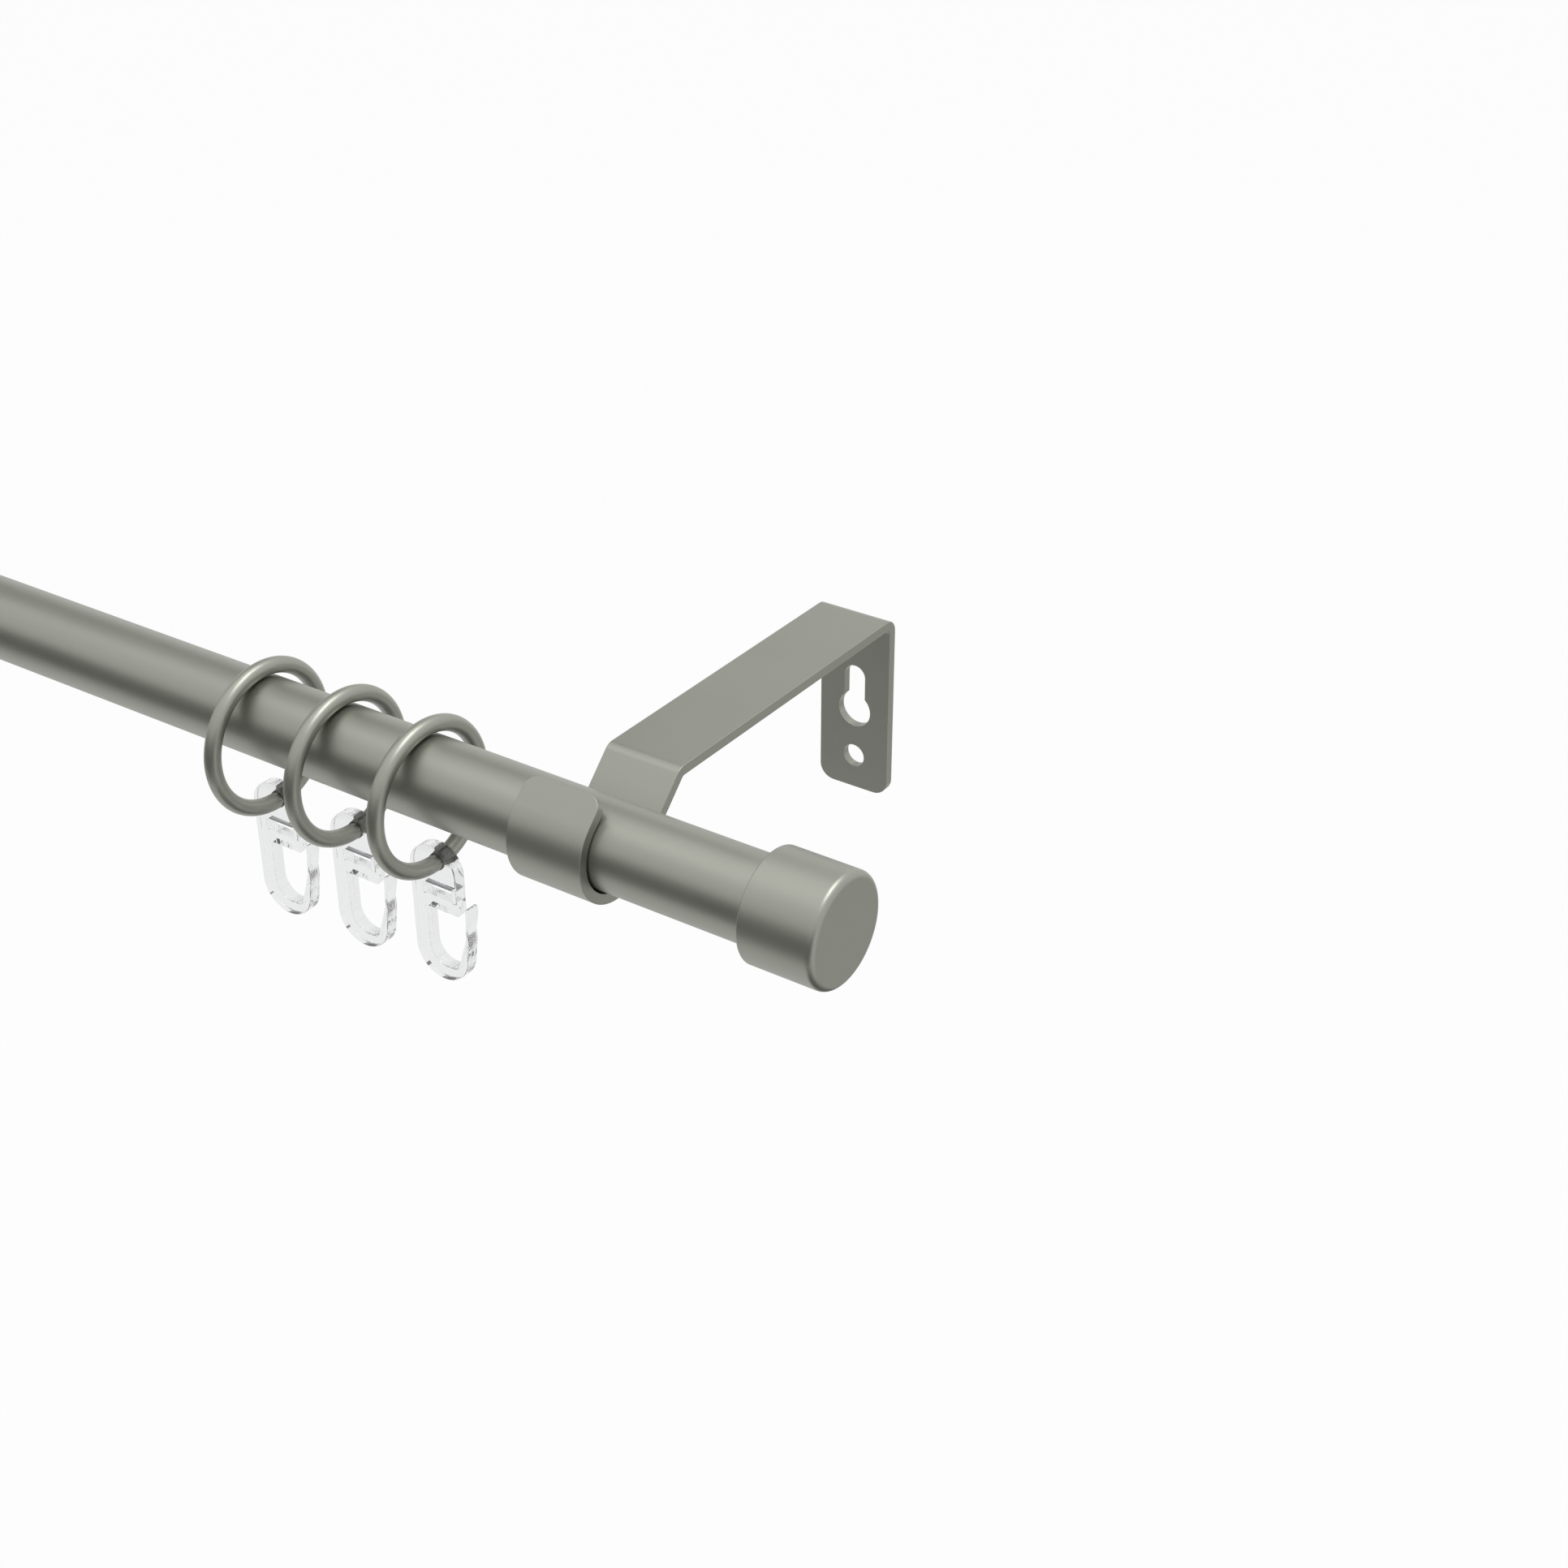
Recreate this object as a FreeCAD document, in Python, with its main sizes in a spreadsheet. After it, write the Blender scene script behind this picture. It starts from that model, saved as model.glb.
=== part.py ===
# Curtain rod set: a tube in two folded wall brackets, with end caps, rings and clear clip hooks.
# The origin is on the wall, midway between the lower screw holes of the two brackets.
# X runs along the rod, Y into the wall and Z up.
import FreeCAD, Part
import math
import os
import Sketcher
from FreeCAD import Placement, Rotation, Vector

doc = FreeCAD.newDocument("CurtainRod")
sheet = doc.addObject("Spreadsheet::Sheet", "Sizes")

SIZES = [
    ("rodLength", 1000, "tube, end to end"),
    ("rodRadius", 10, "outside of the tube"),
    ("tubeWall", 1, "tube's wall"),
    ("bracketInset", 66, "tube's end to the middle of a bracket"),
    ("capRadius", 13.1, "outside of an end cap"),
    ("capLength", 18.5, "end cap along the rod"),
    ("capBore", 16, "how far the tube goes into the cap"),
    ("capClear", 0.1, "tube to bore, all round"),
    ("capRound", 1.75, "rounding of the cap's front edge"),
    ("capEase", 0.4, "chamfers at the cap's mouth"),
    ("stripWidth", 20, "bracket's steel strip"),
    ("strip", 2.5, "strip's thickness"),
    ("wallReach", 112.5, "rod's axis to the wall"),
    ("plateHeight", 50, "wall plate, top of the arm to its lower edge"),
    ("armRise", 8.4, "rod's axis up to the top of the arm"),
    ("rearBend", 1.2, "inside radius where the arm meets the wall plate"),
    ("frontBend", 1.2, "inside radius where the arm turns down to the cup"),
    ("cupClear", 0.4, "rod to cup, all round"),
    ("cupDrop", 0.15, "cup's centre below the rod's axis"),
    ("lipLength", 7.1, "flat lip beyond the cup"),
    ("lipRound", 3.4, "corners of the lip"),
    ("plateRound", 4, "lower corners of the wall plate"),
    ("holeUp", 9, "lower edge of the plate to the round hole"),
    ("holeRadius", 3.05, "round screw hole"),
    ("keyUp", 22.3, "lower edge of the plate to the keyhole's wide end"),
    ("keyRadius", 4.65, "keyhole's wide end"),
    ("slotLength", 9.4, "keyhole's wide end to its narrow end, centre to centre"),
    ("slotRadius", 3, "keyhole's narrow end"),
    ("ringRadius", 17.6, "middle of the ring's wire"),
    ("wireRadius", 2, "ring's wire"),
    ("ringClear", 0.1, "top of the rod to the ring that hangs on it"),
    ("ringFirst", 43.65, "middle of a bracket to the nearest ring"),
    ("ringPitch", 25, "ring to ring"),
    ("ringCount", 3, "rings at each end"),
    ("hookThick", 3.4, "moulding's thickness"),
    ("hookFront", 0.6, "ring's middle to the hook's front face"),
    ("wireClear", 0.15, "ring's wire to the hook's bore"),
    ("mouth", 1.2, "slit through which the wire snaps in"),
    ("headLeft", 8.4, "wire's middle to the left edge of the head"),
    ("headRight", 5.3, "wire's middle to the right edge of the head"),
    ("headRise", 3.7, "wire's middle to the top of the head"),
    ("headDrop", 13.5, "wire's middle to the lower edge of the head"),
    ("windowLeft", 4.6, "wire's middle to the window's left edge"),
    ("windowWall", 1.3, "wall to the right of the window"),
    ("windowHigh", 3.2, "height of the window"),
    ("windowRound", 0.4, "corners of the window"),
    ("barHigh", 3.5, "bar below the window"),
    ("barInset", 0.4, "step from the face of the limb back to the bar"),
    ("limbWide", 4.55, "left limb"),
    ("loopDrop", 32.75, "wire's middle to the lowest point of the loop"),
    ("loopThick", 4.1, "thickness of the loop at its lowest point"),
    ("loopInset", 1.6, "how far the loop's right side is in from the finger's barb"),
    ("innerLeft", 5, "inner radius of the loop on the left"),
    ("innerRight", 1.2, "inner radius of the loop on the right"),
    ("innerSlant", 18, "slant of the loop's inside on the right, in degrees"),
    ("outerSlant", 8, "slant of the finger's outside above the loop, in degrees"),
    ("fingerGap", 2.3, "head to the tip of the springy finger"),
    ("fingerWide", 1.3, "finger at its tip"),
    ("fingerRise", 3.25, "tip of the finger above the head's lower edge"),
    ("barbDrop", 2, "finger's rounded tip to the widest part of its barb"),
    ("neckDrop", 6.1, "finger's rounded tip to its narrow neck"),
    ("neckSlim", 0.95, "how far the neck's outside is in from the barb"),
    ("neckLean", 0.3, "how far the neck's inside is in from the tip"),
    ("heelDrop", 8.1, "finger's rounded tip to the point where its inside starts to slant"),
    ("heelLean", 0.45, "how far that point is in from the tip"),
    ("swellDrop", 9.8, "finger's rounded tip to the foot of its swelling"),
    ("swellRound", 13, "radius of the swelling"),
]
SIDES = {"right": 1, "left": -1}
TOWARD_X = Rotation(Vector(0, 1, 0), 90)


def fill_sheet():
    sheet.set("A1", "Size in mm")
    sheet.set("B1", "Value")
    sheet.set("C1", "What it is")
    for row, (alias, value, note) in enumerate(SIZES, start=2):
        sheet.set(f"A{row}", alias)
        sheet.set(f"B{row}", str(value))
        sheet.set(f"C{row}", note)
        sheet.setAlias(f"B{row}", alias)
    doc.recompute()


def bind(item, prop, text):
    item.setExpression(prop, text)


def number(text):
    return float(sheet.evalExpression(text))


def linked(text):
    # An expression about the sheet's aliases, as other objects have to write it.
    for alias in sorted((row[0] for row in SIZES), key=len, reverse=True):
        text = text.replace(f"[{alias}]", f"Sizes.{alias}")
    return text


def plain(text):
    return text.replace("[", "").replace("]", "")


def new_body(label):
    body = doc.addObject("PartDesign::Body", label)
    body.Label = label
    return body


def new_sketch(body, name, role):
    sketch = body.newObject("Sketcher::SketchObject", name)
    plane = next(item for item in body.Origin.OriginFeatures if item.Role == role)
    sketch.AttachmentSupport = (plane, "")
    sketch.MapMode = "FlatFace"
    return sketch


def hold(sketch, geometry, point, place):
    # Ties one point of a line, arc or circle to a place given by two expressions.
    hold_along(sketch, geometry, point, place[0], "DistanceX", -2)
    hold_height(sketch, geometry, point, place[1])


def hold_height(sketch, geometry, point, text):
    hold_along(sketch, geometry, point, text, "DistanceY", -1)


def hold_along(sketch, geometry, point, text, kind, axis):
    if text == "0":
        sketch.addConstraint(Sketcher.Constraint("PointOnObject", geometry, point, axis))
        return
    value = number(plain(text))
    row = sketch.addConstraint(Sketcher.Constraint(kind, -1, 1, geometry, point, value))
    bind(sketch, f"Constraints[{row}]", linked(text))


def draw_outline(sketch, corners):
    # Each corner is (x, y) or, where an arc starts, (x, y, radius, turn) with turn 1 for counterclockwise.
    # A fifth item gives the height of the centre, which sets a half circle better than its radius does.
    places = [Vector(number(plain(item[0])), number(plain(item[1])), 0) for item in corners]
    ends = []
    for row, item in enumerate(corners):
        start = places[row]
        finish = places[(row + 1) % len(places)]
        if len(item) == 2:
            ends.append((sketch.addGeometry(Part.LineSegment(start, finish)), 1, 2))
            continue
        radius = number(plain(item[2]))
        centre = arc_centre(start, finish, radius, item[3])
        low, high = (start, finish) if item[3] > 0 else (finish, start)
        angles = [math.atan2(spot.y - centre.y, spot.x - centre.x) for spot in (low, high)]
        circle = Part.Circle(centre, Vector(0, 0, 1), radius)
        geometry = sketch.addGeometry(Part.ArcOfCircle(circle, angles[0], angles[1]))
        ends.append((geometry, 1, 2) if item[3] > 0 else (geometry, 2, 1))
        if len(item) == 5:
            hold_height(sketch, geometry, 3, item[4])
            continue
        size = sketch.addConstraint(Sketcher.Constraint("Radius", geometry, radius))
        bind(sketch, f"Constraints[{size}]", linked(item[2]))
    for row, item in enumerate(corners):
        geometry, first, _ = ends[row]
        before, _, last = ends[row - 1]
        hold(sketch, geometry, first, item)
        sketch.addConstraint(Sketcher.Constraint("Coincident", before, last, geometry, first))


def arc_centre(start, finish, radius, turn):
    # turn is 1 or -1 for an arc of up to half a turn, and 2 or -2 for one of more than half.
    middle = (start + finish) * 0.5
    half = (finish - start).Length / 2
    along = (finish - start).normalize()
    across = Vector(-along.y, along.x, 0)
    reach = math.sqrt(max(radius ** 2 - half ** 2, 0))
    side = 1 if turn in (1, -2) else -1
    return middle + across * reach * side


def draw_circle(sketch, place, radius):
    spot = Vector(number(plain(place[0])), number(plain(place[1])), 0)
    geometry = sketch.addGeometry(Part.Circle(spot, Vector(0, 0, 1), number(plain(radius))))
    hold(sketch, geometry, 3, place)
    row = sketch.addConstraint(Sketcher.Constraint("Radius", geometry, number(plain(radius))))
    bind(sketch, f"Constraints[{row}]", linked(radius))


def cut(body, kind, name, sketch, length=None):
    # Cuts the sketch out of the body and makes sure that something has gone.
    doc.recompute()
    before = body.Shape.Volume
    feature = body.newObject(kind, name)
    feature.Profile = sketch
    if length:
        bind(feature, "Length", linked(length))
    else:
        feature.ReferenceAxis = (sketch, ["H_Axis"])
        feature.Angle = 360
    doc.recompute()
    if body.Shape.Volume > before - 0.1:
        raise ValueError(f"{name} cuts nothing out of {body.Label}")
    return feature


def round_edges(body, name, radius, wanted):
    # Rounds the edges of the body whose middle passes the test.
    doc.recompute()
    base = body.Tip
    names = [
        f"Edge{row}"
        for row, edge in enumerate(body.Shape.Edges, start=1)
        if wanted(body.Placement.inverse().multVec(edge.CenterOfMass), edge)
    ]
    fillet = body.newObject("PartDesign::Fillet", name)
    fillet.Base = (base, names)
    bind(fillet, "Radius", linked(radius))
    return fillet


def place_at(item, x, y, z, turn=None):
    item.Placement = Placement(Vector(0, 0, 0), turn or Rotation())
    bind(item, "Placement.Base.x", linked(x))
    bind(item, "Placement.Base.y", linked(y))
    bind(item, "Placement.Base.z", linked(z))


ROD_Y = "-[wallReach]"
ROD_Z = "[plateHeight] - [armRise] - [holeUp]"
RING_Z = f"{ROD_Z} + [rodRadius] + [ringClear] - [ringRadius] + [wireRadius]"
BRACKET_X = "[rodLength] / 2 - [bracketInset]"


# Rod and end caps

def make_rod():
    body = new_body("rod_tube")
    sketch = new_sketch(body, "RodSection", "YZ_Plane")
    draw_circle(sketch, ("0", "0"), "[rodRadius]")
    draw_circle(sketch, ("0", "0"), "[rodRadius] - [tubeWall]")
    pad = body.newObject("PartDesign::Pad", "RodLength")
    pad.Profile = sketch
    pad.SideType = "Symmetric"
    bind(pad, "Length", linked("[rodLength]"))
    place_at(body, "0", ROD_Y, ROD_Z)
    return body


def make_cap(side):
    # A turned cap, drawn as half of its section with the rod's axis along X and its mouth at zero.
    body = new_body(f"end_cap_{side}")
    sketch = new_sketch(body, f"CapSection_{side}", "XZ_Plane")
    bore = "[rodRadius] + [capClear]"
    draw_outline(sketch, [
        ("0", f"{bore} + [capEase]"),
        ("0", "[capRadius] - [capEase]"),
        ("[capEase]", "[capRadius]"),
        ("[capLength] - [capRound]", "[capRadius]", "[capRound]", -1),
        ("[capLength]", "[capRadius] - [capRound]"),
        ("[capLength]", "0"),
        ("[capBore]", "0"),
        ("[capBore]", bore),
        ("[capEase]", bore),
    ])
    turned = body.newObject("PartDesign::Revolution", f"CapTurned_{side}")
    turned.Profile = sketch
    turned.ReferenceAxis = (sketch, ["H_Axis"])
    turned.Angle = 360
    sign = "" if SIDES[side] > 0 else "-"
    turn = Rotation() if SIDES[side] > 0 else Rotation(Vector(0, 0, 1), 180)
    place_at(body, f"{sign}([rodLength] / 2 - [capBore])", ROD_Y, ROD_Z, turn)
    return body


# Wall bracket, folded from one strip

def draw_bracket_profile(sketch):
    # The side view about the rod's axis: wall plate, arm, a slope at 45 degrees, the cup and its lip.
    inner = "([rodRadius] + [cupClear])"
    outer = "([rodRadius] + [cupClear] + [strip])"
    bend = "([rearBend] + [strip])"
    fold = "([frontBend] + [strip])"
    fold_y = f"(sqrt(2) * ({inner} + {fold}) + [armRise] - {fold} + [cupDrop])"
    fold_z = f"([armRise] - {fold})"
    lower = "[armRise] - [plateHeight]"
    face = "[wallReach] - [strip]"
    slant = "sqrt(0.5)"
    draw_outline(sketch, [
        ("[wallReach]", lower),
        ("[wallReach]", f"[armRise] - {bend}", bend, 1),
        (f"[wallReach] - {bend}", "[armRise]"),
        (fold_y, "[armRise]", fold, 1),
        (f"{fold_y} - {fold} * {slant}", f"{fold_z} + {fold} * {slant}"),
        (f"{inner} * {slant}", f"-[cupDrop] - {inner} * {slant}", inner, -1, "-[cupDrop]"),
        (f"-{inner} * {slant}", f"-[cupDrop] + {inner} * {slant}"),
        (f"([lipLength] - {inner}) * {slant}", f"-[cupDrop] + ([lipLength] + {inner}) * {slant}"),
        (f"([lipLength] - {outer}) * {slant}", f"-[cupDrop] + ([lipLength] + {outer}) * {slant}"),
        (f"-{outer} * {slant}", f"-[cupDrop] + {outer} * {slant}", outer, 1, "-[cupDrop]"),
        (f"{outer} * {slant}", f"-[cupDrop] - {outer} * {slant}"),
        (f"{fold_y} - [frontBend] * {slant}", f"{fold_z} + [frontBend] * {slant}", "[frontBend]", -1),
        (fold_y, f"{fold_z} + [frontBend]"),
        (f"[wallReach] - {bend}", "[armRise] - [strip]", "[rearBend]", -1),
        (face, f"[armRise] - {bend}"),
        (face, lower),
    ])


def draw_keyhole(sketch):
    wide = "[armRise] - [plateHeight] + [keyUp]"
    narrow = f"{wide} + [slotLength]"
    shoulder = f"{wide} + sqrt([keyRadius] ^ 2 - [slotRadius] ^ 2)"
    draw_outline(sketch, [
        ("[slotRadius]", narrow, "[slotRadius]", 1, narrow),
        ("-[slotRadius]", narrow),
        ("-[slotRadius]", shoulder, "[keyRadius]", 2),
        ("[slotRadius]", shoulder),
    ])


def make_bracket(side):
    body = new_body(f"bracket_{side}")
    profile = new_sketch(body, f"StripProfile_{side}", "YZ_Plane")
    draw_bracket_profile(profile)
    strip = body.newObject("PartDesign::Pad", f"Strip_{side}")
    strip.Profile = profile
    strip.SideType = "Symmetric"
    bind(strip, "Length", linked("[stripWidth]"))
    half = number("stripWidth / 2")
    bottom = number("armRise - plateHeight")
    lip_top = number("(lipLength + rodRadius + cupClear) * sqrt(0.5) - cupDrop")

    def at_side(spot, edge):
        return abs(abs(spot.x) - half) < 0.01 and abs(edge.Length - number("strip")) < 0.01

    round_edges(body, f"PlateCorners_{side}", "[plateRound]",
                lambda spot, edge: at_side(spot, edge) and abs(spot.z - bottom) < 0.01)
    round_edges(body, f"LipCorners_{side}", "[lipRound]",
                lambda spot, edge: at_side(spot, edge) and spot.z > lip_top and spot.y < 0)
    for name, draw in (("Keyhole", draw_keyhole), ("RoundHole", draw_round_hole)):
        sketch = new_sketch(body, f"{name}Sketch_{side}", "XZ_Plane")
        bind(sketch, "AttachmentOffset.Base.z", linked("[strip] - [wallReach]"))
        draw(sketch)
        cut(body, "PartDesign::Pocket", f"{name}_{side}", sketch, "[strip]")
    sign = "" if SIDES[side] > 0 else "-"
    place_at(body, f"{sign}({BRACKET_X})", ROD_Y, ROD_Z)
    return body


def draw_round_hole(sketch):
    draw_circle(sketch, ("0", "[armRise] - [plateHeight] + [holeUp]"), "[holeRadius]")


# Rings and their clear hooks

def ring_place(side, order):
    away = f"({BRACKET_X} - [ringFirst] - {order - 1} * [ringPitch])"
    return away if SIDES[side] > 0 else f"-{away}"


def make_ring(side, order):
    ring = doc.addObject("Part::Torus", f"ring_{side}_{order}")
    ring.Label = f"ring_{side}_{order}"
    bind(ring, "Radius1", linked("[ringRadius]"))
    bind(ring, "Radius2", linked("[wireRadius]"))
    place_at(ring, ring_place(side, order), ROD_Y, RING_Z, TOWARD_X)
    return ring


def draw_hook(sketch):
    # Front view about the ring's centre: the round head and the left limb, then the loop and its finger.
    wire = "-[ringRadius]"
    head_side = "([headLeft] + [headRight]) / 2"
    head_z = f"{wire} + [headRise] - {head_side}"
    head_low = f"{wire} - [headDrop]"
    limb = "([limbWide] - [headLeft])"
    finger = "([headRight] + [fingerGap])"
    barb = f"({finger} + [fingerWide])"
    tip = f"{head_low} + [fingerRise] - [fingerWide] / 2"
    loop = f"(([headLeft] + {barb} - [loopInset]) / 2)"
    loop_x = f"({loop} - [headLeft])"
    loop_z = f"({wire} - [loopDrop] + {loop})"
    foot_x = f"({loop_x} + {loop} * cos([outerSlant]))"
    foot_z = f"({loop_z} - {loop} * sin([outerSlant]))"
    swell_z = f"({tip} - [swellDrop])"
    inner_low = f"({wire} - [loopDrop] + [loopThick])"
    corner_z = f"({inner_low} + [innerRight])"
    heel_x = f"({finger} - [heelLean])"
    heel_z = f"({tip} - [heelDrop])"
    corner_x = f"({heel_x} - ({heel_z} - {corner_z}) * tan([innerSlant]) - [innerRight] / cos([innerSlant]))"
    draw_outline(sketch, [
        ("-[headLeft]", head_z, head_side, -1, head_z),
        ("[headRight]", head_z),
        ("[headRight]", head_low),
        (limb, head_low),
        (limb, f"{inner_low} + [innerLeft]", "[innerLeft]", 1),
        (f"{limb} + [innerLeft]", inner_low),
        (corner_x, inner_low, "[innerRight]", 1),
        (f"{corner_x} + [innerRight] * cos([innerSlant])",
         f"{corner_z} - [innerRight] * sin([innerSlant])"),
        (heel_x, heel_z),
        (f"{finger} - [neckLean]", f"{tip} - [neckDrop]"),
        (finger, tip, "[fingerWide] / 2", -1, tip),
        (barb, tip),
        (barb, f"{tip} - [barbDrop]"),
        (f"{barb} - [neckSlim]", f"{tip} - [neckDrop]", "[swellRound]", -1),
        (f"{foot_x} + ({swell_z} - {foot_z}) * tan([outerSlant])", swell_z),
        (foot_x, foot_z, loop, -1),
        ("-[headLeft]", loop_z),
    ])


def draw_rectangle(sketch, left, right, low, high):
    draw_outline(sketch, [(left, low), (right, low), (right, high), (left, high)])


def make_hook(side, order):
    name = f"{side}_{order}"
    body = new_body(f"hook_{name}")
    profile = new_sketch(body, f"HookProfile_{name}", "XZ_Plane")
    bind(profile, "AttachmentOffset.Base.z", linked("-[hookFront] - [hookThick]"))
    draw_hook(profile)
    pad = body.newObject("PartDesign::Pad", f"HookThickness_{name}")
    pad.Profile = profile
    bind(pad, "Length", linked("[hookThick]"))
    low = "-[ringRadius] - [headDrop]"
    front = "-[hookFront]"

    window = new_sketch(body, f"WindowSketch_{name}", "XZ_Plane")
    bind(window, "AttachmentOffset.Base.z", linked(front))
    draw_rectangle(window, "-[windowLeft]", "[headRight] - [windowWall]",
                   f"{low} + [barHigh]", f"{low} + [barHigh] + [windowHigh]")
    cut(body, "PartDesign::Pocket", f"Window_{name}", window, "[hookThick]")
    corner_x = (-number("windowLeft"), number("headRight - windowWall"))
    corner_z = (number("-ringRadius - headDrop + barHigh"),
                number("-ringRadius - headDrop + barHigh + windowHigh"))
    round_edges(body, f"WindowCorners_{name}", "[windowRound]",
                lambda spot, edge: min(abs(spot.x - x) for x in corner_x) < 0.01
                and min(abs(spot.z - z) for z in corner_z) < 0.01)

    step = new_sketch(body, f"BarSketch_{name}", "XZ_Plane")
    bind(step, "AttachmentOffset.Base.z", linked(front))
    draw_rectangle(step, "-[windowLeft]", "[headRight]", low, f"{low} + [barHigh]")
    cut(body, "PartDesign::Pocket", f"BarStep_{name}", step, "[barInset]")

    slit = new_sketch(body, f"MouthSketch_{name}", "XZ_Plane")
    bind(slit, "AttachmentOffset.Base.z", linked(front))
    draw_rectangle(slit, "0", "[headRight]", "-[ringRadius] - [mouth] / 2", "-[ringRadius] + [mouth] / 2")
    cut(body, "PartDesign::Pocket", f"Mouth_{name}", slit, "[hookThick]")

    bore = new_sketch(body, f"WireSketch_{name}", "XZ_Plane")
    draw_circle(bore, ("0", "-[ringRadius]"), "[wireRadius] + [wireClear]")
    cut(body, "PartDesign::Groove", f"WireBore_{name}", bore)
    place_at(body, ring_place(side, order), ROD_Y, RING_Z)
    return body


def check_document():
    doc.recompute()
    for item in doc.Objects:
        if "Invalid" in item.State or "Error" in item.State:
            raise ValueError(f"{item.Label} did not build: {item.State}")


def write_parts(pieces):
    os.makedirs("parts", exist_ok=True)
    for piece in pieces:
        shape = piece.Shape
        if shape.isNull() or not shape.isValid() or len(shape.Solids) != 1:
            raise ValueError(f"{piece.Label} is not one valid solid")
    for piece in pieces:
        piece.Shape.exportStep(f"parts/{piece.Label}.step")
        print(piece.Label, round(piece.Shape.Volume, 1), piece.Shape.BoundBox)


fill_sheet()
parts = [make_rod()]
for end in SIDES:
    parts.append(make_cap(end))
    parts.append(make_bracket(end))
    for spot_in_row in range(1, int(number("ringCount")) + 1):
        parts.append(make_ring(end, spot_in_row))
        parts.append(make_hook(end, spot_in_row))
check_document()
write_parts(parts)
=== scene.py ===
import math

import bmesh
import bpy
from mathutils import Matrix, Vector


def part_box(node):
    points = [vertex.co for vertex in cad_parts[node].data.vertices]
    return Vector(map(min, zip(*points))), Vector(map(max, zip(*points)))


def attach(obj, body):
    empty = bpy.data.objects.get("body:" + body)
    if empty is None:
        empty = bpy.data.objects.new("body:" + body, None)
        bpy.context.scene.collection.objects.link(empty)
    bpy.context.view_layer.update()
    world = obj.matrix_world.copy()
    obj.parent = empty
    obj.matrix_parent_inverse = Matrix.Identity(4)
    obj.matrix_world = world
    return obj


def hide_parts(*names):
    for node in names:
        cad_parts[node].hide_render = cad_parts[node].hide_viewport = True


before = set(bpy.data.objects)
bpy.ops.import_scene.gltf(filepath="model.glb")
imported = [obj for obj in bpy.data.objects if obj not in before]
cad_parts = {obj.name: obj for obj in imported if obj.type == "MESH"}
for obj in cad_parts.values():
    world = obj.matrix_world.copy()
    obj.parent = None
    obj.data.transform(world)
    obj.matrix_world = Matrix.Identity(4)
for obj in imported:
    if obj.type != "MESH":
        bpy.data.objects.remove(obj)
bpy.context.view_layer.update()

# Curtain rod set: a tube in two folded wall brackets, with end caps, rings and clear clip hooks.
# Metres, in the CAD frame: X along the rod, Y into the wall, Z up.

ends = {"right": 1, "left": -1}
ringsPerEnd = 3
mm = 0.001


def middle(node):
    low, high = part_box(node)
    return (low + high) / 2


rodAxis = middle("rod_tube")  # a point on the rod's axis, halfway along it


# Shader sums: a Wire is a socket that can be added, multiplied and so on.

class Wire:
    def __init__(self, paint, socket):
        self.paint = paint
        self.socket = socket

    def sum(self, operation, first, second):
        return self.paint.add("Math", {"operation": operation}, {0: first, 1: second})

    def __add__(self, other):
        return self.sum("ADD", self, other)

    def __radd__(self, other):
        return self.sum("ADD", other, self)

    def __sub__(self, other):
        return self.sum("SUBTRACT", self, other)

    def __rsub__(self, other):
        return self.sum("SUBTRACT", other, self)

    def __mul__(self, other):
        return self.sum("MULTIPLY", self, other)

    def __rmul__(self, other):
        return self.sum("MULTIPLY", other, self)

    def orElse(self, other):
        return self.sum("MAXIMUM", self, other)


class Paint:
    # The nodes of one material or of the world.
    def __init__(self, owner, outputKind):
        owner.use_nodes = True
        self.owner = owner
        self.tree = owner.node_tree
        self.tree.nodes.clear()
        self.output = self.tree.nodes.new(outputKind)

    def add(self, kind, settings=None, sockets=None, out=0):
        node = self.tree.nodes.new("ShaderNode" + kind)
        for name, value in (settings or {}).items():
            setattr(node, name, value)
        for name, value in (sockets or {}).items():
            self.feed(node.inputs[name], value)
        return Wire(self, node.outputs[out])

    def feed(self, socket, value):
        if isinstance(value, Wire):
            self.tree.links.new(value.socket, socket)
        else:
            socket.default_value = value

    def mixColour(self, share, first, second):
        return self.add("Mix", {"data_type": "RGBA"}, {0: share, 6: first, 7: second}, 2)

    def noise(self, place, size, detail=2.0):
        # Noise whose blotches are about size metres across, from 0 to 1 round a half.
        return self.add("TexNoise", None, {
            "Vector": place, "Scale": 1 / size, "Detail": detail, "Roughness": 0.5})

    def relief(self, deep, height):
        return self.add("Bump", None, {"Strength": 1.0, "Distance": deep, "Height": height})

    def finish(self, shader):
        self.feed(self.output.inputs["Surface"], shader)
        return self.owner


def newPaint(name):
    return Paint(bpy.data.materials.new(name), "ShaderNodeOutputMaterial")


def rgb(red, green, blue):
    return (red, green, blue, 1.0)


# Finishes

satinLook = {
    "light": rgb(0.352, 0.358, 0.316),
    "dark": rgb(0.318, 0.323, 0.284),
    "metallic": 0.92,
    "roughness": 0.42,
    "roughnessSwing": 0.07,
    "cloud": 26 * mm,
    "grain": 0.35 * mm,
    "drawn": 0.5 * mm,  # width of the drawn lines
    "drawnLength": 40,  # times as long as wide
    "cloudTone": 0.7,  # shares in the change of colour
    "grainTone": 0.2,
    "drawnTone": 0.1,
    "bump": 0.006 * mm,
}


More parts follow.
